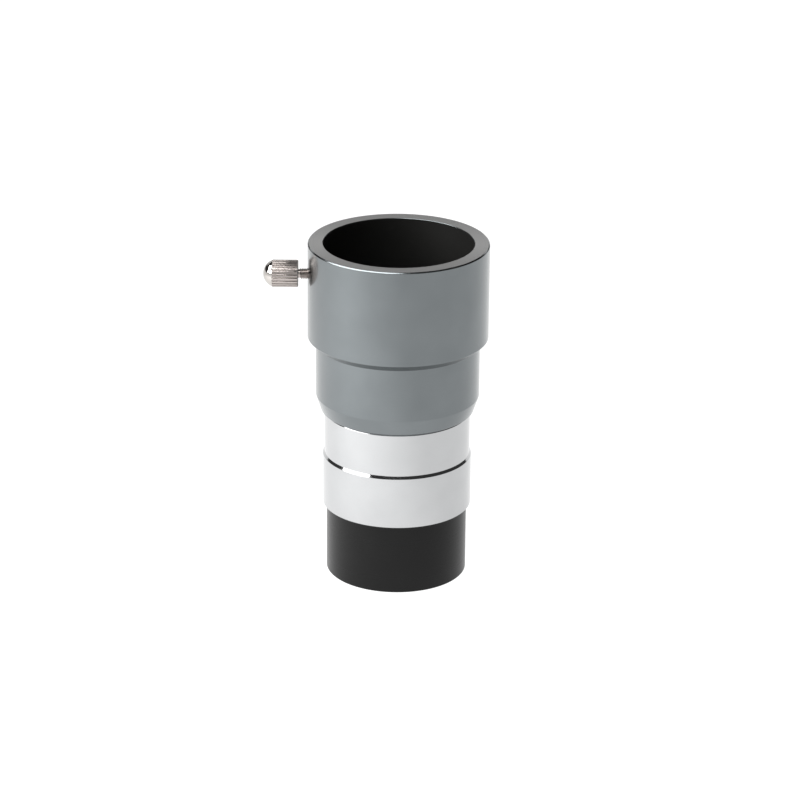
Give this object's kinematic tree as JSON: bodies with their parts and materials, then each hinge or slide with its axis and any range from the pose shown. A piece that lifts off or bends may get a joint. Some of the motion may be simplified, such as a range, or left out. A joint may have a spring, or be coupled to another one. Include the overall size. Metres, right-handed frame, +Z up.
{
  "type": "barlow lens",
  "caption": "Tubular negative-lens attachment with an eyepiece socket, side thumbscrew, plated push-fit barrel and unscrewable black lens cell.",
  "frame": {"origin": "on the optical axis in the plane of the lens cell's open end, which the part stands on", "axes": "+Z up the optical axis towards the eyepiece end; the thumbscrew stands out along -X"},
  "size_m": [0.0477, 0.0382, 0.0738],
  "materials": {
    "grey_anodised": "satin grey anodised, matt black paint inside",
    "bright_plate": "bright plated and polished",
    "black_anodised": "satin black anodised",
    "crown_glass": "polished, coated",
    "flint_glass": "polished, coated",
    "black_film": "matt",
    "nickel_plate": "bright nickel plated",
    "white_nylon": "satin"
  },
  "bodies": {
    "holder": {"eyepiece_holder": "grey_anodised", "nosepiece_barrel": "bright_plate"},
    "screw_tip": {"clamp_tip": "white_nylon"},
    "screw": {"thumbscrew": "nickel_plate"},
    "optics": {"crown_lens": "crown_glass", "flint_lens": "flint_glass", "lens_washer": "black_film"},
    "cell": {"lens_cell": "black_anodised", "lens_retaining_ring": "black_anodised"}
  },
  "joints": [
    {"name": "thumbscrew_advance", "type": "slide", "parent": "holder", "child": "screw_tip", "axis": [1, 0, 0], "range_m": [-0.00225, 0.00169]},
    {"name": "thumbscrew_turn", "type": "hinge", "parent": "screw_tip", "child": "screw", "pos_m": [-0.0211, 0, 0.0667], "axis": [1, 0, 0], "range_deg": [-1800, 1350]},
    {"name": "cell_advance", "type": "slide", "parent": "holder", "child": "optics", "axis": [0, 0, 1], "range_m": [-0.0042, 0]},
    {"name": "cell_turn", "type": "hinge", "parent": "optics", "child": "cell", "pos_m": [0, 0, 0.0075], "axis": [0, 0, 1], "range_deg": [-2520, 0]}
  ],
  "couplings": [
    {"joint": "thumbscrew_turn", "follows": "thumbscrew_advance", "rad_per_m": 13963},
    {"joint": "cell_turn", "follows": "cell_advance", "rad_per_m": 10472}
  ]
}
